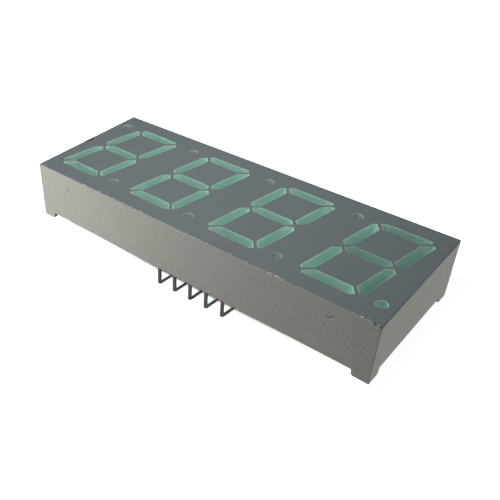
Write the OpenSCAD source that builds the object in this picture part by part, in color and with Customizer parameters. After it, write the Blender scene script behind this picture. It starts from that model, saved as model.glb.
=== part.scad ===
// Four-digit seven segment display module, standing on its pins.
// +X runs along the row of digits, +Y to their tops and +Z up. The origin is at the pin tips.

/* [Housing] */
// Length of the housing, left to right
body_l = 50.3; // [42:0.1:60]
// Width of the housing, front to back
body_w = 19; // [15.8:0.1:26]
// Height from the feet to the face
body_h = 8; // [6.5:0.1:12]
// Thickness of the outer walls
wall = 1; // [0.6:0.05:1.1]
// Radius of the upright corners
corner_r = 0.12; // [0.1:0.01:0.6]
// Chamfer round the edge of the face
edge_cut = 0.06; // [0.03:0.01:0.2]

/* [Feet] */
// Height of the corner feet
foot_h = 0.85; // [0.5:0.05:1.5]
// Length of a foot along each wall
foot_l = 2.1; // [1.5:0.1:5]
// Rounding of a foot's lower inner edge
foot_r = 0.35; // [0.1:0.05:0.45]
// Fillet where a foot grows out of the rim
root_r = 0.2; // [0.05:0.05:0.3]

/* [Digits] */
// Clear face beyond the cells of the outer digits
end_margin = 0.15; // [0:0.05:1]
// Clear face between upright neighbours
digit_space = 4.8; // [4:0.05:6]
// Clear face above and below the digits
face_margin = 2.4; // [2:0.05:4]
// Lean of the digits in degrees
slant = 10; // [0:0.5:12]
// Width of a segment's window
seg_w = 1.4; // [1.1:0.05:1.8]
// Coated strip between neighbouring windows
seg_gap = 0.36; // [0.15:0.01:0.5]
// Cut across each outer corner of a digit
corner_cut = 1.05; // [0.7:0.05:1.5]
// Rounding of the windows' corners in the coat
window_r = 0.16; // [0.05:0.01:0.17]

/* [Points] */
// Diameter of the round marks and of the decimal point
dot_d = 1.4; // [1:0.05:1.6]
// Distance of the marks from the side of their upright digit
dot_side = 0.9; // [0.75:0.05:1.15]
// Distance of the marks in from the top or foot of their digit
dot_inset = 0.7; // [0:0.05:2]
// Depth of the blind marks, which are dished
dot_depth = 0.32; // [0.15:0.01:0.6]

/* [Light tunnels] */
// Bare rim between the coat and a tunnel's mouth
rim = 0.07; // [0.05:0.01:0.15]
// Length of a tunnel at the board
cup_l = 2.4; // [1.8:0.1:4]
// Width of a tunnel at the board
cup_w = 0.85; // [0.7:0.05:1]
// Diameter of the decimal point's tunnel at the board
cup_d = 1; // [0.9:0.05:1.2]

/* [Coat] */
// Thickness of the printed coat on the face
coat_t = 0.05; // [0.03:0.01:0.1]

/* [Board and fill] */
// Thickness of the circuit board
board_t = 1; // [0.6:0.1:1.6]
// Clearance between the board and the walls
board_gap = 0.15; // [0.1:0.01:0.2]
// Film of resin between the board and the reflector block
film = 0.1; // [0.08:0.01:0.2]
// Depth of resin under the board
under_fill = 0.6; // [0.5:0.05:1]
// Step from the rim of the housing in to the resin
fill_recess = 0.4; // [0.1:0.05:0.8]

/* [Pins] */
// Diameter of a pin's tinned leg
leg_d = 0.5; // [0.4:0.01:0.6]
// Diameter of the bare wire above the leg
wire_d = 0.44; // [0.3:0.01:0.48]
// Length of the legs below the feet
leg_l = 3.5; // [2:0.1:6]
// Bevel at a pin's tip
tip_cut = 0.12; // [0.05:0.01:0.2]
// Distance from pin to pin in a row
pin_pitch = 2.54; // [2:0.01:2.6]
// Distance of a row from the long side beside it
row_inset = 1.88; // [1.85:0.01:3]

/* [Soldering] */
// Diameter of the holes in the board
hole_d = 0.64; // [0.6:0.01:0.8]
// Diameter of the copper land round a hole
land_d = 1.2; // [0.9:0.05:1.25]
// Height of a solder fillet
solder_h = 0.35; // [0.2:0.05:0.4]
// Diameter of a solder fillet at its foot
solder_d = 0.7; // [0.65:0.05:0.85]
// Thickness of the copper
copper_t = 0.05; // [0.03:0.01:0.07]

/* [Light sources] */
// Edge of a light-emitting die
die_w = 0.3; // [0.2:0.01:0.35]
// Height of a die
die_h = 0.25; // [0.15:0.01:0.3]
// Margin of copper round a die
die_margin = 0.05; // [0.03:0.01:0.08]
// Width of the pad that takes a bond wire
bond_pad = 0.25; // [0.15:0.01:0.3]
// Distance from a die to its bond pad in a segment
bond_span = 0.7; // [0.5:0.05:1]
// Distance from the die to its bond pad in the decimal point
point_span = 0.44; // [0.42:0.01:0.5]
// Diameter of a bond wire
bond_d = 0.05; // [0.03:0.01:0.08]

/* [Hidden] */
$fn = 48;
DIGITS = 4;
FRONT_PINS = 5;
BACK_PINS = 7;
// Straight steps in a window's rounded corner
ARC_STEPS = 3;
// Spare length of a cutting solid past the face it opens
past = 0.5;

// Heights, from the pin tips up
seat_z = leg_l;
rim_z = seat_z + foot_h;
fill_z = rim_z + fill_recess;
board_z = fill_z + under_fill;
board_top = board_z + board_t;
roof_z = board_top + film;
face_z = seat_z + body_h;
moulded_z = face_z - coat_t;

// Hollow of the housing, and the board in it
bay_l = body_l - 2 * wall;
bay_w = body_w - 2 * wall;
board_l = bay_l - 2 * board_gap;
board_w = bay_w - 2 * board_gap;

// Cell of a digit, the digit in it and its marks
digit_pitch = (body_l - 2 * end_margin) / DIGITS;
digit_w = digit_pitch - digit_space;
digit_h = body_w - 2 * face_margin;
dot_x = digit_w / 2 + dot_side;
dot_y = digit_h / 2 - dot_inset;
row_gap = body_w - 2 * row_inset;

// Ball that dishes the blind marks, and the height of its middle
mark_r = (dot_d * dot_d / 4 + dot_depth * dot_depth) / (2 * dot_depth);
mark_z = face_z - dot_depth + mark_r;

// Half sizes of a digit, and half the gap measured along an edge that is cut at 45 degrees
half_w = digit_w / 2;
half_h = digit_h / 2;
half_gap = seg_gap / sqrt(2);

// Windows of an upright digit: two long edges, points 0-1 and 3-4, and a tip at points 2 and 5
top_window = [
    [half_w - corner_cut, half_h],
    [corner_cut - half_w, half_h],
    [(corner_cut + half_gap) / 2 - half_w, half_h - (corner_cut - half_gap) / 2],
    [seg_w + half_gap - half_w, half_h - seg_w],
    [half_w - seg_w - half_gap, half_h - seg_w],
    [half_w - (corner_cut + half_gap) / 2, half_h - (corner_cut - half_gap) / 2]
];
left_window = [
    [-half_w, half_h - corner_cut],
    [-half_w, seg_w / 2 + half_gap],
    [seg_w / 2 - half_w, half_gap],
    [seg_w - half_w, seg_w / 2 + half_gap],
    [seg_w - half_w, half_h - seg_w - half_gap],
    [(corner_cut - half_gap) / 2 - half_w, half_h - (corner_cut + half_gap) / 2]
];
middle_window = [
    [half_w - seg_w - half_gap, seg_w / 2],
    [seg_w + half_gap - half_w, seg_w / 2],
    [seg_w / 2 + half_gap - half_w, 0],
    [seg_w + half_gap - half_w, -seg_w / 2],
    [half_w - seg_w - half_gap, -seg_w / 2],
    [half_w - seg_w / 2 - half_gap, 0]
];

// The same window on the other side of the digit, and upside down
function mirrored(p) = [for (i = [0 : 5]) let (q = p[(7 - i) % 6]) [-q.x, q.y]];
function turned(p) = [for (q = p) -q];
right_window = mirrored(left_window);

// Each segment's window, and the direction of its long axis
SEGMENTS = [
    [top_window, 0],
    [right_window, 270],
    [turned(left_window), 270],
    [turned(top_window), 180],
    [turned(right_window), 90],
    [left_window, 90],
    [middle_window, 0]
];

// Rounds the corners of a window
function unit(v) = v / norm(v);
function rounded_corners(p) = [
    for (i = [0 : 5])
        let (
            back = unit(p[(i + 5) % 6] - p[i]),
            ahead = unit(p[(i + 1) % 6] - p[i]),
            half = acos(back * ahead) / 2,
            centre = p[i] + unit(back + ahead) * window_r / sin(half),
            from = p[i] + back * window_r / tan(half) - centre,
            start = atan2(from.y, from.x)
        )
        for (k = [0 : ARC_STEPS])
            let (a = start + (180 - 2 * half) * k / ARC_STEPS)
            centre + window_r * [cos(a), sin(a)]
];

// Moves every edge of a convex outline outwards by d
function outward(a, b) = unit([b.y - a.y, a.x - b.x]);
function grown(p, d) = [
    for (i = [0 : 5])
        let (
            n1 = outward(p[(i + 5) % 6], p[i]),
            n2 = outward(p[i], p[(i + 1) % 6])
        )
        p[i] + d * (n1 + n2) / (1 + n1 * n2)
];

// Middle of an outline, and the hexagon that its tunnel ends in on the board
function middle(p) = [
    (min([for (q = p) q.x]) + max([for (q = p) q.x])) / 2,
    (min([for (q = p) q.y]) + max([for (q = p) q.y])) / 2
];
cup = [
    [cup_l - cup_w, cup_w] / 2,
    [cup_w - cup_l, cup_w] / 2,
    [-cup_l, 0] / 2,
    [cup_w - cup_l, -cup_w] / 2,
    [cup_l - cup_w, -cup_w] / 2,
    [cup_l, 0] / 2
];
function cup_at(c, a) = [for (q = cup) c + [q.x * cos(a) - q.y * sin(a), q.x * sin(a) + q.y * cos(a)]];

// Leans an outline, and sets it at its digit's place
function lean(q) = [q.x + q.y * tan(slant), q.y];
function placed(p, digit) = [for (q = p) lean(q) + [digit_x(digit), 0]];
function digit_x(digit) = (digit - (DIGITS - 1) / 2) * digit_pitch;

// Round marks: one at the top left and one at the bottom right of each digit, the last one open
DOTS = [for (d = [0 : DIGITS - 1]) for (s = [-1, 1]) [digit_x(d) + s * dot_x, -s * dot_y]];
POINT = DOTS[len(DOTS) - 1];
BLIND = [for (i = [0 : len(DOTS) - 2]) DOTS[i]];

function pin_x(i, count) = (i - (count - 1) / 2) * pin_pitch;
PINS = concat(
    [for (i = [0 : FRONT_PINS - 1]) [pin_x(i, FRONT_PINS), -row_gap / 2]],
    [for (i = [0 : BACK_PINS - 1]) [pin_x(i, BACK_PINS), row_gap / 2]]
);

// A rectangle with round corners
module rounded(l, w, r) {
    square([l - 2 * r, w], center = true);
    square([l, w - 2 * r], center = true);
    for (x = [-1, 1], y = [-1, 1])
        translate([x * (l / 2 - r), y * (w / 2 - r)])
            circle(r);
}

// The flat of the face inside its chamfer
module face_outline() {
    rounded(body_l - 2 * edge_cut, body_w - 2 * edge_cut, max(corner_r - edge_cut, edge_cut / 4));
}

// A slice of one segment's tunnel, from its cup at the board towards its mouth at the face
module tunnel(digit, segment, z0, z1) {
    window = segment[0];
    low = placed(cup_at(middle(window), segment[1]), digit);
    high = placed(grown(window, -rim), digit);
    slice = [
        for (z = [z0, z1])
            for (i = [0 : 5])
                let (q = low[i] + (high[i] - low[i]) * (z - roof_z) / (moulded_z - roof_z))
                [q.x, q.y, z]
    ];
    sides = [for (i = [0 : 5]) let (j = (i + 1) % 6) [i, i + 6, j + 6, j]];
    polyhedron(slice, concat([[0, 1, 2, 3, 4, 5]], sides, [[11, 10, 9, 8, 7, 6]]));
}

// The decimal point's tunnel, round all the way
module point_tunnel(z0, z1) {
    mouth_d = dot_d - 2 * rim;
    growth = (mouth_d - cup_d) / (moulded_z - roof_z);
    translate([POINT.x, POINT.y, z0])
        cylinder(h = z1 - z0, d1 = cup_d + growth * (z0 - roof_z), d2 = cup_d + growth * (z1 - roof_z));
}

module all_tunnels(z0, z1) {
    for (digit = [0 : DIGITS - 1], segment = SEGMENTS)
        tunnel(digit, segment, z0, z1);
    point_tunnel(z0, z1);
}

// Ball of radius r that dishes a blind mark
module mark_ball(p, r) {
    translate([p.x, p.y, mark_z])
        sphere(r);
}

// The windows that the coat leaves open
module windows() {
    for (digit = [0 : DIGITS - 1], segment = SEGMENTS)
        polygon(placed(rounded_corners(segment[0]), digit));
    translate(POINT)
        circle(d = dot_d);
}

// Side view of a foot, from the corner of the housing inwards
module foot_profile() {
    difference() {
        square([foot_l, foot_h + wall]);
        translate([foot_l - foot_r, 0])
            difference() {
                square(foot_r);
                translate([0, foot_r])
                    circle(foot_r);
            }
    }
    translate([foot_l, foot_h - root_r])
        difference() {
            square([root_r, root_r + wall]);
            translate([root_r, 0])
                circle(root_r);
        }
}

// One corner foot: an arm along each wall
module foot() {
    translate([-body_l / 2, -body_w / 2, seat_z]) {
        translate([0, wall, 0])
            rotate([90, 0, 0])
                linear_extrude(wall)
                    foot_profile();
        rotate([90, 0, 90])
            linear_extrude(wall)
                foot_profile();
    }
}

module feet() {
    intersection() {
        for (x = [0, 1], y = [0, 1])
            mirror([x, 0, 0])
                mirror([0, y, 0])
                    foot();
        translate([0, 0, seat_z])
            linear_extrude(foot_h + wall)
                rounded(body_l, body_w, corner_r);
    }
}

// Block of the housing, with the chamfer round its face
module block() {
    translate([0, 0, rim_z])
        hull() {
            linear_extrude(moulded_z - edge_cut - rim_z)
                rounded(body_l, body_w, corner_r, $fn = 32);
            linear_extrude(moulded_z - rim_z)
                face_outline($fn = 32);
        }
}

// One grey moulding: walls, reflector block with its tapered tunnels, and feet
module reflector_housing() {
    color([0.66, 0.65, 0.62])
        difference() {
            union() {
                block();
                feet();
            }
            translate([0, 0, rim_z - past])
                linear_extrude(roof_z - rim_z + past)
                    square([bay_l, bay_w], center = true);
            all_tunnels(roof_z - film / 2, moulded_z + past);
            for (p = BLIND)
                mark_ball(p, mark_r + coat_t);
        }
}

// Dark grey print on the face, open at the windows and lining the blind marks
module face_coat() {
    color([0.38, 0.42, 0.43])
        difference() {
            union() {
                translate([0, 0, moulded_z])
                    linear_extrude(coat_t)
                        difference() {
                            face_outline();
                            windows();
                        }
                for (p = BLIND)
                    intersection() {
                        mark_ball(p, mark_r + coat_t);
                        translate([p.x - dot_d, p.y - dot_d, moulded_z - dot_d])
                            cube([2 * dot_d, 2 * dot_d, dot_d]);
                    }
            }
            for (p = BLIND)
                mark_ball(p, mark_r);
        }
}

// Green resin, cast in one go: light pipes, film over the board and fill behind it
module epoxy_fill() {
    color([0.42, 0.68, 0.56])
        difference() {
            union() {
                translate([0, 0, fill_z])
                    linear_extrude(roof_z - fill_z)
                        square([bay_l, bay_w], center = true);
                all_tunnels(roof_z - film / 2, moulded_z);
                translate([0, 0, moulded_z])
                    linear_extrude(coat_t)
                        windows();
            }
            board_blank();
            for (p = PINS) {
                pin(p);
                pin_joint(p);
                pin_land(p);
            }
            for (digit = [0 : DIGITS - 1], segment = SEGMENTS)
                at_cup(digit, segment) {
                    pads(bond_span);
                    die(bond_span);
                }
            at_point() {
                pads(point_span);
                die(point_span);
            }
            for (digit = [0 : DIGITS - 1], segment = SEGMENTS)
                at_cup(digit, segment)
                    bond_wire(bond_span);
            at_point()
                bond_wire(point_span);
        }
}

module board_blank() {
    translate([0, 0, board_z])
        linear_extrude(board_t)
            square([board_l, board_w], center = true);
}

// Board that carries the dice and the pins
module circuit_board() {
    color([0.30, 0.42, 0.30])
        difference() {
            board_blank();
            for (p = PINS)
                translate([p.x, p.y, board_z - past])
                    cylinder(d = hole_d, h = board_t + 2 * past);
        }
}

// Sets a light source on the board in a segment's cup, along the segment
module at_cup(digit, segment) {
    c = placed([middle(segment[0])], digit)[0];
    upright = segment[1] % 180 == 90;
    translate([c.x, c.y, board_top])
        rotate(segment[1] - (upright ? slant : 0))
            children();
}

module at_point() {
    translate([POINT.x, POINT.y, board_top])
        children();
}

// Pads under a die and under the end of its bond wire
module pads(span) {
    die_pad = die_w + 2 * die_margin;
    linear_extrude(copper_t) {
        translate([-span / 2, 0])
            square(die_pad, center = true);
        translate([span / 2, 0])
            square(bond_pad, center = true);
    }
}

module die(span) {
    translate([-span / 2, 0, copper_t])
        linear_extrude(die_h)
            square(die_w, center = true);
}

// Wire from the top of the die, over in half a circle and down to its pad
module bond_wire(span) {
    translate([0, 0, copper_t + die_h])
        rotate([90, 0, 0])
            rotate_extrude(angle = 180)
                translate([span / 2, 0])
                    circle(d = bond_d);
    translate([span / 2, 0, copper_t])
        cylinder(d = bond_d, h = die_h);
}

// Copper ring under the board, round a pin's hole
module pin_land(p) {
    translate([p.x, p.y, board_z - copper_t])
        difference() {
            cylinder(d = land_d, h = copper_t);
            translate([0, 0, -past])
                cylinder(d = hole_d, h = copper_t + 2 * past);
        }
}

// Copper of the board: lands at the pins, pads in the cups
module board_copper() {
    color([0.80, 0.58, 0.32]) {
        for (p = PINS)
            pin_land(p);
        for (digit = [0 : DIGITS - 1], segment = SEGMENTS)
            at_cup(digit, segment)
                pads(bond_span);
        at_point()
            pads(point_span);
    }
}

// Solder of one pin: it fills the hole and runs out to a fillet on the land
module pin_joint(p) {
    translate([p.x, p.y, board_z - copper_t])
        rotate_extrude()
            polygon([
                [wire_d / 2, -solder_h],
                [hole_d / 2, -solder_h],
                [solder_d / 2, 0],
                [hole_d / 2, 0],
                [hole_d / 2, copper_t + board_t],
                [wire_d / 2, copper_t + board_t]
            ]);
}

module solder_joints() {
    color([0.75, 0.76, 0.77])
        for (p = PINS)
            pin_joint(p);
}

// Round wire pin with a tinned leg, its upper end flush with the board
module pin(p) {
    color([0.62, 0.62, 0.60])
        translate([p.x, p.y, 0])
            rotate_extrude()
                polygon([
                    [0, 0],
                    [leg_d / 2 - tip_cut, 0],
                    [leg_d / 2, tip_cut],
                    [leg_d / 2, leg_l],
                    [wire_d / 2, leg_l],
                    [wire_d / 2, board_top],
                    [0, board_top]
                ]);
}

module led_dice(digit) {
    color([0.85, 0.80, 0.55])
        for (segment = SEGMENTS)
            at_cup(digit, segment)
                die(bond_span);
}

module led_die_point() {
    color([0.85, 0.80, 0.55])
        at_point()
            die(point_span);
}

module bond_wires(digit) {
    color([0.90, 0.72, 0.35])
        for (segment = SEGMENTS)
            at_cup(digit, segment)
                bond_wire(bond_span);
}

module bond_wire_point() {
    color([0.90, 0.72, 0.35])
        at_point()
            bond_wire(point_span);
}

reflector_housing();
face_coat();
epoxy_fill();
circuit_board();
board_copper();
solder_joints();
for (d = [1 : DIGITS]) {
    led_dice(d - 1);
    bond_wires(d - 1);
}
led_die_point();
bond_wire_point();
for (i = [1 : FRONT_PINS])
    pin(PINS[i - 1]);
for (i = [1 : BACK_PINS])
    pin(PINS[FRONT_PINS + i - 1]);
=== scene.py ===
import math

import bpy
from mathutils import Matrix, Vector


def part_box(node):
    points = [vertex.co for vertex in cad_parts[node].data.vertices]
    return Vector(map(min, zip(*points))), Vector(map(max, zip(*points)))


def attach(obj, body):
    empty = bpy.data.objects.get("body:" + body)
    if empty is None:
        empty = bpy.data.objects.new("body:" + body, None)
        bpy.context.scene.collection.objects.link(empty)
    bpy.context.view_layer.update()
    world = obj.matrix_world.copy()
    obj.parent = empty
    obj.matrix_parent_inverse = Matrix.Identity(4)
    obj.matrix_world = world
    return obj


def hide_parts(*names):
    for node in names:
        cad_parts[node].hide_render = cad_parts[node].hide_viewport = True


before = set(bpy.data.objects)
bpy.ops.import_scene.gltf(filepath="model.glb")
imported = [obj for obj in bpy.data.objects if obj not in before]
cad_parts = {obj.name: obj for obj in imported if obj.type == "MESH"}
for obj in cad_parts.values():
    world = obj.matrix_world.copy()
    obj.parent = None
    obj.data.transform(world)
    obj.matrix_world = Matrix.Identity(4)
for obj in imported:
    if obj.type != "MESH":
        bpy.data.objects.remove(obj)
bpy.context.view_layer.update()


# Reflector housing: one moulding of light grey thermoplastic, with the tunnels, the walls and the feet.
# Fine and matt from the mould, with small specks, a stain, and a darker line along the top of the ends; a
# few nicks and a scratch are drawn as painted shade, the scratch also as a painted highlight.
# Nothing is fixed to it: the resin holds all the rest.
MM = 0.001


def surface(name, roughness, metallic=0.0):
    """A new material and its Principled shader."""
    mat = bpy.data.materials.new(name)
    mat.use_nodes = True
    bsdf = mat.node_tree.nodes["Principled BSDF"]
    bsdf.inputs["Roughness"].default_value = roughness
    bsdf.inputs["Metallic"].default_value = metallic
    return mat, bsdf


def feed(mat, socket, value):
    """Links a node's output to a socket, or sets the socket to a value."""
    if isinstance(value, bpy.types.NodeSocket):
        mat.node_tree.links.new(value, socket)
    else:
        socket.default_value = value


def place(mat):
    """Object coordinates."""
    return mat.node_tree.nodes.new("ShaderNodeTexCoord").outputs["Object"]


def along(mat, axis):
    """The Object coordinate on one axis."""
    apart = mat.node_tree.nodes.new("ShaderNodeSeparateXYZ")
    feed(mat, apart.inputs[0], place(mat))
    return apart.outputs[axis]


def off_middle(mat, axis):
    """Distance from the middle of the part along one axis."""
    off = mat.node_tree.nodes.new("ShaderNodeMath")
    off.operation = "ABSOLUTE"
    feed(mat, off.inputs[0], along(mat, axis))
    return off.outputs[0]


def distance(mat, at):
    """Distance from a place."""
    span = mat.node_tree.nodes.new("ShaderNodeVectorMath")
    span.operation = "DISTANCE"
    feed(mat, span.inputs[0], place(mat))
    span.inputs[1].default_value = at
    return span.outputs["Value"]


def noise(mat, size, detail=2.0, stretch=(1, 1, 1)):
    """Noise from 0 to 1 with features of about the given size in metres, longer where stretch is under 1."""
    mapping = mat.node_tree.nodes.new("ShaderNodeMapping")
    feed(mat, mapping.inputs["Vector"], place(mat))
    mapping.inputs["Scale"].default_value = stretch
    texture = mat.node_tree.nodes.new("ShaderNodeTexNoise")
    feed(mat, texture.inputs["Vector"], mapping.outputs["Vector"])
    texture.inputs["Scale"].default_value = 1 / size
    texture.inputs["Detail"].default_value = detail
    return texture.outputs["Fac"]


def between(mat, value, low, high):
    """0 where the value is at low, 1 where it is at high, smooth between."""
    node = mat.node_tree.nodes.new("ShaderNodeMapRange")
    node.interpolation_type = "SMOOTHSTEP"
    feed(mat, node.inputs["Value"], value)
    node.inputs["From Min"].default_value = low
    node.inputs["From Max"].default_value = high
    return node.outputs["Result"]


def times(mat, a, b):
    """Product of two values."""
    node = mat.node_tree.nodes.new("ShaderNodeMath")
    node.operation = "MULTIPLY"
    feed(mat, node.inputs[0], a)
    feed(mat, node.inputs[1], b)
    return node.outputs[0]


def mix(mat, factor, a, b):
    """Colour a where the factor is 0, colour b where it is 1."""
    node = mat.node_tree.nodes.new("ShaderNodeMix")
    node.data_type = "RGBA"
    for index, value in ((0, factor), (6, a), (7, b)):
        feed(mat, node.inputs[index], (*value, 1) if isinstance(value, tuple) else value)
    return node.outputs[2]


def grain(mat, bsdf, height, size):
    """Fine unevenness of the given height and size, both in metres."""
    bump = mat.node_tree.nodes.new("ShaderNodeBump")
    bump.inputs["Distance"].default_value = height
    feed(mat, bump.inputs["Height"], noise(mat, size, 3))
    feed(mat, bsdf.inputs["Normal"], bump.outputs["Normal"])


def spot(mat, at, radius):
    """1 within about the radius round a place, ragged at its edge."""
    ragged = mat.node_tree.nodes.new("ShaderNodeMath")
    ragged.operation = "MULTIPLY_ADD"
    feed(mat, ragged.inputs[0], noise(mat, radius * 0.6))
    ragged.inputs[1].default_value = radius
    feed(mat, ragged.inputs[2], distance(mat, at))
    return between(mat, ragged.outputs[0], radius * 1.5, radius * 1.2)


def paint(mat, *nodes):
    """Gives CAD nodes this material and no other."""
    for name in nodes:
        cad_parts[name].data.materials.clear()
        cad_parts[name].data.materials.append(mat)


low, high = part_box("reflector_housing")
body_l, body_w, moulded_z = high.x - low.x, high.y - low.y, high.z
tone_size, blotch_size, dark_speck_size, pale_speck_size = 0.22 * MM, 6 * MM, 0.45 * MM, 0.38 * MM
grain_height, grain_size = 0.02 * MM, 0.14 * MM
grey_dark, grey_light, grey_blotch = (0.189, 0.186, 0.169), (0.378, 0.372, 0.340), (0.232, 0.230, 0.205)
dark_speck, pale_speck = (0.112, 0.109, 0.096), (0.544, 0.536, 0.512)
nick_shade, scratch_shade = (0.080, 0.080, 0.077), (0.080, 0.080, 0.075)
scratch_highlight, stain = (0.544, 0.544, 0.512), (0.160, 0.128, 0.118)
end_edge_dark, tunnel_white = (0.040, 0.045, 0.048), (0.98, 0.98, 0.97)

plastic, bsdf = surface("housing plastic", 0.62)
bsdf.inputs["Specular IOR Level"].default_value = 0.35
colour = mix(plastic, noise(plastic, tone_size, 3), grey_dark, grey_light)
blotches = times(plastic, noise(plastic, blotch_size), 0.35)
colour = mix(plastic, blotches, colour, grey_blotch)
dark_specks = times(plastic, between(plastic, noise(plastic, dark_speck_size, 1), 0.73, 0.78), 0.7)
colour = mix(plastic, dark_specks, colour, dark_speck)
pale_specks = times(plastic, between(plastic, noise(plastic, pale_speck_size, 1), 0.29, 0.25), 0.6)
colour = mix(plastic, pale_specks, colour, pale_speck)

# Painted shade of small nicks in the top edge, as dark spots: x, y and radius.
nick_shades = ((low.x, -0.25 * MM, 0.75 * MM), (low.x, 0.15 * MM, 0.65 * MM),
         (high.x - 0.75 * MM, low.y, 0.2 * MM), (high.x - 0.1 * MM, low.y, 0.14 * MM))
for x, y, radius in nick_shades:
    colour = mix(plastic, spot(plastic, (x, y, moulded_z), radius), colour, nick_shade)

# Marks on the front side: x, z and radius in millimetres, and colour. The first three are the painted shade
# and painted highlight of a raised scratch; the last is a stain.
front_marks = ((19.5, 9.56, 0.16, scratch_shade), (19.85, 9.72, 0.18, scratch_shade),
               (20.05, 9.56, 0.15, scratch_highlight), (-19.6, 9.5, 0.26, stain))
for x, z, radius, tone in front_marks:
    mark = spot(plastic, (x * MM, low.y, z * MM), radius * MM)
    colour = mix(plastic, times(plastic, mark, 0.8), colour, tone)

# Darker along the top edge at both ends: where it starts and where it is full.
dark_start_in, dark_full_in, dark_start_down, dark_full_down = 0.3 * MM, 0.2 * MM, 0.25 * MM, 0.17 * MM
ends = between(plastic, off_middle(plastic, "X"), body_l / 2 - dark_start_in, body_l / 2 - dark_full_in)
top_edge = between(plastic, along(plastic, "Z"), moulded_z - dark_start_down, moulded_z - dark_full_down)
dark_edge = times(plastic, times(plastic, ends, top_edge), 0.9)
colour = mix(plastic, dark_edge, colour, end_edge_dark)

# The tunnels' walls, inside the outer skin, reflect more than the rest.
skin, blend = 0.4 * MM, 0.1 * MM
within_l = between(plastic, off_middle(plastic, "X"), body_l / 2 - skin, body_l / 2 - skin - blend)
within_w = between(plastic, off_middle(plastic, "Y"), body_w / 2 - skin, body_w / 2 - skin - blend)
colour = mix(plastic, times(plastic, within_l, within_w), colour, tunnel_white)
feed(plastic, bsdf.inputs["Base Color"], colour)
grain(plastic, bsdf, grain_height, grain_size)
paint(plastic, "reflector_housing")


# Circuit board: a glass-cloth laminate with drilled holes, which carries the dice and the pins.
# It hangs in the housing, wholly cast in by the resin.
thread, run_x, run_y = 0.3 * MM, (0.15, 1, 1), (1, 0.15, 1)
weave_dark, weave_light, weave_across = (0.030, 0.075, 0.035), (0.065, 0.125, 0.060), (0.085, 0.14, 0.075)
laminate, bsdf = surface("board laminate", 0.5)
weave = mix(laminate, noise(laminate, thread, 1, run_x), weave_dark, weave_light)
across = times(laminate, noise(laminate, thread, 1, run_y), 0.6)
feed(laminate, bsdf.inputs["Base Color"], mix(laminate, across, weave, weave_across))
paint(laminate, "circuit_board")


# Copper: etched pads for the dice and their wires on the top, and a land round each pin below.
# Plain copper foil that is bonded to the laminate.
copper_dark, copper_light, copper_tone_size = (0.58, 0.30, 0.16), (0.76, 0.44, 0.26), 0.5 * MM
copper, bsdf = surface("copper foil", 0.38, 1.0)
colour = mix(copper, noise(copper, copper_tone_size, 3), copper_dark, copper_light)
feed(copper, bsdf.inputs["Base Color"], colour)
paint(copper, "board_copper")


# Solder: a small satin cone round each pin, where it is soldered to its land.
# It set from the melt, so its surface is a little uneven.
solder_dark, solder_light, solder_tone_size = (0.42, 0.43, 0.44), (0.66, 0.67, 0.68), 0.2 * MM
solder_grain_height, solder_grain_size = 0.01 * MM, 0.12 * MM
solder, bsdf = surface("solder", 0.32, 1.0)
colour = mix(solder, noise(solder, solder_tone_size, 3), solder_dark, solder_light)
feed(solder, bsdf.inputs["Base Color"], colour)
grain(solder, bsdf, solder_grain_height, solder_grain_size)
paint(solder, "solder_joints")


# Light sources: a yellowish, polished die on its pad under each segment and under the decimal point.
# A thin gold wire runs in an arch from the top of each die to the pad beside it.
die_dark, die_light = (0.44, 0.38, 0.12), (0.62, 0.54, 0.22)
gold_dark, gold_light = (0.78, 0.52, 0.20), (0.92, 0.68, 0.32)
die_tone_size = 0.1 * MM
crystal, bsdf = surface("die", 0.2)
colour = mix(crystal, noise(crystal, die_tone_size, 1), die_dark, die_light)
feed(crystal, bsdf.inputs["Base Color"], colour)
gold, bsdf = surface("bond wire", 0.22, 1.0)
colour = mix(gold, noise(gold, die_tone_size, 1), gold_dark, gold_light)
feed(gold, bsdf.inputs["Base Color"], colour)
paint(crystal, *[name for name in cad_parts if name.startswith("led_di")])
paint(gold, *[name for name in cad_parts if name.startswith("bond_wire")])


# Pins: round copper wire, tinned and gone dull, cut with a small bevel at the tip. Their tin is painted much
# darker than its own colour: painted shade.
# Each one goes through a hole in the board and out through the resin.
shaded_tin_dark, shaded_tin_light, tin_stain = (0.042, 0.038, 0.035), (0.105, 0.097, 0.089), (0.03, 0.028, 0.025)
streak_size, streak_run, stain_size = 0.25 * MM, (1, 1, 0.12), 0.5 * MM
tin, bsdf = surface("tinned wire", 0.38, 0.7)
colour = mix(tin, noise(tin, streak_size, 3, streak_run), shaded_tin_dark, shaded_tin_light)
colour = mix(tin, between(tin, noise(tin, stain_size, 2), 0.58, 0.72), colour, tin_stain)
feed(tin, bsdf.inputs["Base Color"], colour)
paint(tin, *[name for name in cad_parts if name.startswith("pin_")])


# Resin: green, diffusing epoxy, cast from below in one go. It fills the tunnels and buries the board.
# It shows as the segments and the decimal point, and has sunk very slightly in each window. Over the last
# digit's upper segments it is painted darker: painted shade.
# Its walls reach a hair into the plastic, so that no two faces lie in one plane.
def grown(outline, by):
    """Moves every edge of a convex outline outwards."""
    moved = []
    for i, here in enumerate(outline):
        edges = [here - outline[i - 1], outline[(i + 1) % len(outline)] - here]
        one, two = [Vector((edge.y, -edge.x)).normalized() for edge in edges]
        moved.append(here + by * (one + two) / (1 + one.dot(two)))
    return moved


def rounded(outline, radius, steps=3):
    """An outline with each corner turned into an arc of the given radius."""
    points = []
    for i, here in enumerate(outline):
        back = (outline[i - 1] - here).normalized()
        ahead = (outline[(i + 1) % len(outline)] - here).normalized()
        half = math.acos(back.dot(ahead)) / 2
        centre = here + (back + ahead).normalized() * radius / math.sin(half)
        arm = here + back * radius / math.tan(half) - centre
        for k in range(steps + 1):
            points.append(centre + Matrix.Rotation((math.pi - 2 * half) * k / steps, 2) @ arm)
    return points


def ring_faces(lower, upper, count):
    """Faces between two rings of vertices, each ring given by its first index."""
    after = [(i + 1) % count for i in range(count)]
    return [[lower + i, lower + after[i], upper + after[i], upper + i] for i in range(count)]


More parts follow.
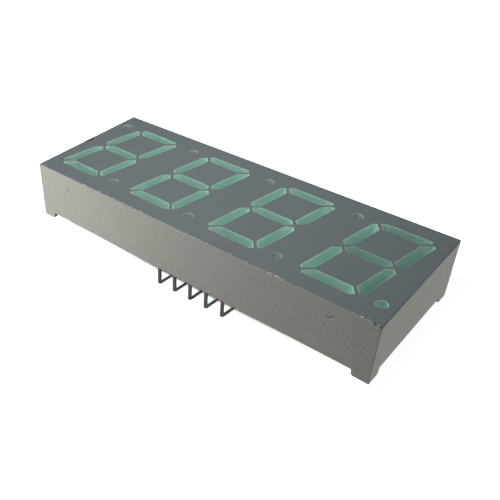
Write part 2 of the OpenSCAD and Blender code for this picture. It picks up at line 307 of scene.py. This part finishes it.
digits, sides, round_sides = 4, 6, 48
wall, film, hair = 1 * MM, 0.1 * MM, 0.02 * MM
end_margin, digit_space, face_margin = 0.15 * MM, 4.8 * MM, 2.4 * MM
seg_w, seg_gap, cut, window_r = 1.4 * MM, 0.36 * MM, 1.05 * MM, 0.16 * MM
rim, cup_l, cup_w = 0.07 * MM, 2.4 * MM, 0.85 * MM
point_r, point_cup_r, point_side, point_inset = 0.7 * MM, 0.5 * MM, 0.9 * MM, 0.7 * MM
lean = math.radians(10)

face_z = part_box("face_coat")[1].z
fill_z, board_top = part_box("epoxy_fill")[0].z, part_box("circuit_board")[1].z
roof_z = board_top + film
bay_l, bay_w = body_l - 2 * wall, body_w - 2 * wall
pitch = (body_l - 2 * end_margin) / digits
half_w, half_h = (pitch - digit_space) / 2, body_w / 2 - face_margin
half_gap, slant = seg_gap / math.sqrt(2), math.tan(lean)

# Outlines of a digit's windows, before the lean, each with the angle of its cup.
top = [(half_w - cut, half_h), (cut - half_w, half_h),
       ((cut + half_gap) / 2 - half_w, half_h - (cut - half_gap) / 2),
       (seg_w + half_gap - half_w, half_h - seg_w), (half_w - seg_w - half_gap, half_h - seg_w),
       (half_w - (cut + half_gap) / 2, half_h - (cut - half_gap) / 2)]
left = [(-half_w, half_h - cut), (-half_w, seg_w / 2 + half_gap), (seg_w / 2 - half_w, half_gap),
        (seg_w - half_w, seg_w / 2 + half_gap), (seg_w - half_w, half_h - seg_w - half_gap),
        ((cut - half_gap) / 2 - half_w, half_h - (cut + half_gap) / 2)]
middle = [(half_w - seg_w - half_gap, seg_w / 2), (seg_w + half_gap - half_w, seg_w / 2),
          (seg_w / 2 + half_gap - half_w, 0), (seg_w + half_gap - half_w, -seg_w / 2),
          (half_w - seg_w - half_gap, -seg_w / 2), (half_w - seg_w / 2 - half_gap, 0)]
right = [(-left[1 - i][0], left[1 - i][1]) for i in range(sides)]
turned = [[(-x, -y) for x, y in outline] for outline in (left, top, right)]
windows = [(top, 0), (right, 270), (turned[0], 270), (turned[1], 180),
           (turned[2], 90), (left, 90), (middle, 0)]

cup_flat = cup_l - cup_w
cup_corners = ((cup_flat, cup_w), (-cup_flat, cup_w), (-cup_l, 0),
               (-cup_flat, -cup_w), (cup_flat, -cup_w), (cup_l, 0))
# Steps of a window's dish, from the moulded face up: inset, corner radius and level.
dish_steps = ((-hair / 5, window_r, moulded_z - hair / 2),
              (-hair / 5, window_r, face_z - hair / 5),
              (0.10 * MM, 0.6 * window_r, face_z - 0.8 * hair),
              (0.40 * MM, 0.3 * window_r, face_z - 1.2 * hair))

verts, faces = [], []
for outline, angle in windows:
    outline = [Vector(corner) for corner in outline]
    xs, ys = [corner.x for corner in outline], [corner.y for corner in outline]
    centre = Vector((min(xs) + max(xs), min(ys) + max(ys))) / 2
    turn = Matrix.Rotation(math.radians(angle), 2)
    cup = grown([Vector(corner) / 2 for corner in cup_corners], hair)
    cup = [centre + turn @ corner for corner in cup]
    mouth = grown(outline, hair - rim)
    dish = [(rounded(grown(outline, -inset), radius), z) for inset, radius, z in dish_steps]
    rings = [(cup, board_top + hair), (mouth, moulded_z - hair / 2)] + dish
    foot = len(verts)
    lip, ledge = foot + sides, foot + 2 * sides
    verts += [(corner.x + corner.y * slant, corner.y, z) for ring, z in rings for corner in ring]
    faces.append([foot + i for i in reversed(range(sides))])
    faces += ring_faces(foot, lip, sides)
    count = len(dish[0][0])
    each = count // sides
    for i in range(sides):
        arc = ledge + each * i
        faces += [[lip + i, arc + k + 1, arc + k] for k in range(each - 1)]
        faces.append([lip + i, lip + (i + 1) % sides, ledge + each * (i + 1) % count, arc + each - 1])
    for level in range(len(dish) - 1):
        faces += ring_faces(ledge + count * level, ledge + count * (level + 1), count)
    faces.append([ledge + count * (len(dish) - 1) + i for i in range(count)])
mesh = bpy.data.meshes.new("resin of one digit")
mesh.from_pydata(verts, [], faces)
casting = bpy.data.objects.new("resin_casting", mesh)
bpy.context.scene.collection.objects.link(casting)

green_dark, green_light, green_painted_shade = (0.675, 0.98, 0.86), (0.725, 1.0, 0.90), (0.46, 0.65, 0.58)
resin_tone_size, resin_shade_at, resin_shade_r = 0.5 * MM, (23.5 * MM, 1 * MM, face_z), 9 * MM
resin, bsdf = surface("green resin", 0.2)
colour = mix(resin, noise(resin, resin_tone_size, 2), green_dark, green_light)
# Painted shade: a darker patch over the upper right of the last digit.
resin_shade = times(resin, spot(resin, resin_shade_at, resin_shade_r), 0.72)
colour = mix(resin, resin_shade, colour, green_painted_shade)
feed(resin, bsdf.inputs["Base Color"], colour)
bsdf.inputs["Transmission Weight"].default_value = 0.85
bsdf.inputs["IOR"].default_value = 1.3
absorb = resin.node_tree.nodes.new("ShaderNodeVolumeAbsorption")
absorb.inputs["Color"].default_value = (0.0, 0.945, 0.715, 1)
absorb.inputs["Density"].default_value = 220
feed(resin, resin.node_tree.nodes["Material Output"].inputs["Volume"], absorb.outputs["Volume"])

tree = bpy.data.node_groups.new("casting in one go", "GeometryNodeTree")
tree.interface.new_socket("Geometry", in_out="OUTPUT", socket_type="NodeSocketGeometry")
tree.interface.new_socket("Geometry", in_out="INPUT", socket_type="NodeSocketGeometry")
input_kinds = {
    "Digits": "Int", "Pitch": "Float", "Slab size": "Vector", "Slab middle": "Vector",
    "Point foot": "Vector", "Point cap": "Vector", "Cup radius": "Float", "Mouth radius": "Float",
    "Cap radius": "Float", "Tunnel depth": "Float", "Cap depth": "Float", "Material": "Material"}
sockets = {}
for name, kind in input_kinds.items():
    socket = tree.interface.new_socket(name, in_out="INPUT", socket_type="NodeSocket" + kind)
    sockets[name] = socket.identifier
given = tree.nodes.new("NodeGroupInput")
result = tree.nodes.new("NodeGroupOutput")


def step(kind, **links):
    """Adds a node to the tree; each named input takes an output or a value."""
    node = tree.nodes.new(kind)
    for name, value in links.items():
        socket = node.inputs[name.replace("_", " ")]
        if isinstance(value, bpy.types.NodeSocket):
            tree.links.new(value, socket)
        else:
            socket.default_value = value
    return node


spacing = step("ShaderNodeCombineXYZ", X=given.outputs["Pitch"])
start = tree.nodes.new("ShaderNodeVectorMath")
start.operation = "SCALE"
tree.links.new(spacing.outputs[0], start.inputs[0])
start.inputs["Scale"].default_value = -(digits - 1) / 2
row = step("GeometryNodeMeshLine", Count=given.outputs["Digits"],
           Start_Location=start.outputs[0], Offset=spacing.outputs[0])
copies = step("GeometryNodeInstanceOnPoints", Points=row.outputs[0], Instance=given.outputs["Geometry"])
slab = step("GeometryNodeMeshCube", Size=given.outputs["Slab size"])
slab = step("GeometryNodeTransform", Geometry=slab.outputs["Mesh"], Translation=given.outputs["Slab middle"])
well = step("GeometryNodeMeshCone", Vertices=round_sides, Radius_Top=given.outputs["Mouth radius"],
            Radius_Bottom=given.outputs["Cup radius"], Depth=given.outputs["Tunnel depth"])
well = step("GeometryNodeTransform", Geometry=well.outputs["Mesh"], Translation=given.outputs["Point foot"])
cap = step("GeometryNodeMeshCone", Vertices=round_sides, Radius_Top=given.outputs["Cap radius"],
           Radius_Bottom=given.outputs["Cap radius"], Depth=given.outputs["Cap depth"])
cap = step("GeometryNodeTransform", Geometry=cap.outputs["Mesh"], Translation=given.outputs["Point cap"])
spread = step("GeometryNodeRealizeInstances", Geometry=copies.outputs[0])
union = tree.nodes.new("GeometryNodeMeshBoolean")
union.operation = "UNION"
union.solver = "MANIFOLD"
for part in (spread, slab, well, cap):
    tree.links.new(part.outputs[0], union.inputs[1])
whole = step("GeometryNodeRealizeInstances", Geometry=union.outputs[0])
done = step("GeometryNodeSetMaterial", Geometry=whole.outputs[0], Material=given.outputs["Material"])
tree.links.new(done.outputs[0], result.inputs[0])

point = ((digits - 1) / 2 * pitch + half_w + point_side, point_inset - half_h)
input_values = {
    "Digits": digits,
    "Pitch": pitch,
    "Slab size": (bay_l + 2 * hair, bay_w + 2 * hair, roof_z + hair - fill_z),
    "Slab middle": (0, 0, (roof_z + hair + fill_z) / 2),
    "Point foot": (*point, board_top + hair),
    "Point cap": (*point, moulded_z - hair / 2),
    "Cup radius": point_cup_r + hair,
    "Mouth radius": point_r - rim + hair,
    "Cap radius": point_r + hair / 5,
    "Tunnel depth": moulded_z - board_top - hair,
    "Cap depth": face_z - moulded_z + hair / 4,
    "Material": resin}
modifier = casting.modifiers.new("casting", "NODES")
modifier.node_group = tree
for name, value in input_values.items():
    modifier[sockets[name]] = value
bpy.context.view_layer.update()
made = bpy.data.meshes.new_from_object(casting.evaluated_get(bpy.context.evaluated_depsgraph_get()))
casting.modifiers.clear()
casting.data = made
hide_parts("epoxy_fill")
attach(casting, "root")


# Face coat: dark grey ink, printed on the moulded face up to the chamfer and round each window.
# It lines the blind round marks, thinly at their rims, and inside them is painted a little lighter against
# their shade. It is matt, and rubbed pale along its front edge; nicks in the top edge are painted shade.
coat_tone_size, coat_blotch_size, worn_size, worn_run = 0.14 * MM, 9 * MM, 0.22 * MM, (0.5, 1, 1)
coat_grain_height, coat_grain_size = 0.012 * MM, 0.12 * MM
worn_start, worn_full = 0.24 * MM - body_w / 2, 0.13 * MM - body_w / 2
mark_start, mark_full = face_z - 0.005 * MM, face_z - 0.02 * MM
thin_start, thin_full = face_z - 0.15 * MM, face_z - 0.06 * MM
coat_dark, coat_light, coat_blotch = (0.121, 0.146, 0.156), (0.154, 0.183, 0.193), (0.120, 0.144, 0.154)
worn_pale, thin_ink_and_painted_light, coat_nick_shade = (0.672, 0.672, 0.640), (0.384, 0.416, 0.416), (0.032, 0.032, 0.030)

coat, bsdf = surface("face coat", 0.5)
bsdf.inputs["Specular IOR Level"].default_value = 0.3
colour = mix(coat, noise(coat, coat_tone_size, 3), coat_dark, coat_light)
blotches = times(coat, noise(coat, coat_blotch_size), 0.3)
colour = mix(coat, blotches, colour, coat_blotch)
front_edge = between(coat, along(coat, "Y"), worn_start, worn_full)
worn = times(coat, front_edge, between(coat, noise(coat, worn_size, 3, worn_run), 0.54, 0.68))
colour = mix(coat, worn, colour, worn_pale)
# Painted light: the coat inside the marks is painted a little lighter against their shade; the pale ring
# near their rims is thin ink.
in_marks = between(coat, along(coat, "Z"), mark_start, mark_full)
colour = mix(coat, times(coat, in_marks, 0.08), colour, thin_ink_and_painted_light)
near_rim = between(coat, along(coat, "Z"), thin_start, thin_full)
thin = times(coat, times(coat, in_marks, near_rim), 0.7)
colour = mix(coat, thin, colour, thin_ink_and_painted_light)
# Painted shade of the nicks in the top edge, as dark spots in the coat.
for x, y, radius in nick_shades:
    colour = mix(coat, spot(coat, (x, y, face_z), radius), colour, coat_nick_shade)
feed(coat, bsdf.inputs["Base Color"], colour)
grain(coat, bsdf, coat_grain_height, coat_grain_size)
paint(coat, "face_coat")


# Studio: a white floor and backdrop, five lamps on the display alone, and a sun on the floor alone.
# The floor glows less round the front pins, so that their shadows stay dark.
# The camera stands where the photo was taken from. None of this is part of the object.
paper_dark, paper_light, paper_unseen = (0.84, 0.84, 0.84), (0.86, 0.86, 0.86), (0.056, 0.056, 0.056)
paper_tone_size = 50 * MM


def paper(name):
    """A material that is white only to the camera, gloss and glass, its shader, and 1 for those rays."""
    mat, bsdf = surface(name, 0.9)
    bsdf.inputs["Specular IOR Level"].default_value = 0.0
    bsdf.inputs["Emission Color"].default_value = (1, 1, 1, 1)
    rays = mat.node_tree.nodes.new("ShaderNodeLightPath")
    seen = rays.outputs["Is Camera Ray"]
    for kind in ("Is Glossy Ray", "Is Transmission Ray"):
        either = mat.node_tree.nodes.new("ShaderNodeMath")
        either.operation = "MAXIMUM"
        feed(mat, either.inputs[0], seen)
        feed(mat, either.inputs[1], rays.outputs[kind])
        seen = either.outputs[0]
    sheet = mix(mat, noise(mat, paper_tone_size, 2), paper_dark, paper_light)
    feed(mat, bsdf.inputs["Base Color"], mix(mat, seen, paper_unseen, sheet))
    return mat, bsdf, seen


floor_size, backdrop_r, backdrop_h, backdrop_sides = 4, 1.9, 0.9, 96
dark_r, bright_r, floor_glow = 5 * MM, 22 * MM, 0.92
white, bsdf, seen = paper("white floor")
pin_low, pin_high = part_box("pin_front_3")
away = between(white, distance(white, (pin_low + pin_high) / 2), dark_r, bright_r)
feed(white, bsdf.inputs["Emission Strength"], times(white, seen, times(white, away, floor_glow)))
bpy.ops.mesh.primitive_plane_add(size=floor_size)
floor = bpy.context.object
floor.name = "floor"
floor.data.materials.append(white)

white, bsdf, seen = paper("white backdrop")
feed(white, bsdf.inputs["Emission Strength"], seen)
bpy.ops.mesh.primitive_cylinder_add(
    vertices=backdrop_sides, radius=backdrop_r, depth=backdrop_h, end_fill_type="NOTHING")
backdrop = bpy.context.object
backdrop.name = "backdrop"
backdrop.data.materials.append(white)

all_but_floor = bpy.data.collections.new("all but the floor")
all_but_floor.objects.link(floor)
all_but_floor.collection_objects[0].light_linking.link_state = "EXCLUDE"
floor_only = bpy.data.collections.new("floor only")
floor_only.objects.link(floor)

# Lamps: name, place, size, power, tint and aim, in metres and watts.
lamps = (
    ("overhead", (-0.09, -0.03, 0.24), 0.22, 0.250, (1, 1, 1), (0, 0, 0)),
    ("near", (-0.009, 0.002, 0.060), 0.04, 0.0162, (1, 1, 1), (-0.009, 0.002, 0.01)),
    ("back", (-0.05, 0.25, 0.006), 0.01, 0.250, (1, 1, 1), (0, 0, 0.006)),
    ("front left", (-0.043, -0.060, 0.014), 0.02, 0.0408, (1, 1, 0.98), (-0.018, 0, 0.007)),
    ("right", (0.20, -0.004, 0.025), 0.12, 0.103, (0.95, 0.99, 1), (0.025, 0, 0.006)))
for name, at, size, power, tint, aim in lamps:
    data = bpy.data.lights.new(name, "AREA")
    data.size = size
    data.energy = power
    data.color = tint
    lamp = bpy.data.objects.new(name, data)
    lamp.location = at
    lamp.rotation_mode = "QUATERNION"
    lamp.rotation_quaternion = (Vector(aim) - Vector(at)).to_track_quat("-Z", "Y")
    lamp.light_linking.receiver_collection = all_but_floor
    bpy.context.scene.collection.objects.link(lamp)

sun_power, sun_spread, sun_way = 5.2, math.radians(4), Vector((0.08, 1, -1.1))
data = bpy.data.lights.new("floor sun", "SUN")
data.energy = sun_power
data.angle = sun_spread
sun = bpy.data.objects.new("floor sun", data)
sun.rotation_mode = "QUATERNION"
sun.rotation_quaternion = sun_way.to_track_quat("-Z", "Y")
sun.light_linking.receiver_collection = floor_only
bpy.context.scene.collection.objects.link(sun)

world = bpy.data.worlds.new("white room")
world.use_nodes = True
world.node_tree.nodes["Background"].inputs["Color"].default_value = (1, 1, 1, 1)
world.node_tree.nodes["Background"].inputs["Strength"].default_value = 0.075
scene = bpy.context.scene
scene.world = world
scene.view_settings.view_transform = "Standard"

# The camera as fitted to the photo: its focal length and axis in pixels, its own axes and its place.
picture_px, focal_px, axis_x_px, axis_y_px = 500, 685.4, 144.4, 257.7
view_right = (0.740994, 0.67104, -0.025131)
view_down = (0.38795, -0.458341, -0.799636)
view_ahead = (-0.548106, 0.582777, -0.599958)
seen_from = (41.6985 * MM, -60.1845 * MM, 45.4674 * MM + face_z)
data = bpy.data.cameras.new("camera")
data.sensor_width = 36
data.lens = focal_px / picture_px * data.sensor_width
data.shift_x = (picture_px / 2 - axis_x_px) / picture_px
data.shift_y = (axis_y_px - picture_px / 2) / picture_px
data.clip_start, data.clip_end = 0.005, 10
camera = bpy.data.objects.new("camera", data)
rows = zip(view_right, view_down, view_ahead, seen_from)
camera.matrix_world = Matrix([(x, -y, -z, at) for x, y, z, at in rows] + [(0, 0, 0, 1)])
scene.collection.objects.link(camera)
scene.camera = camera
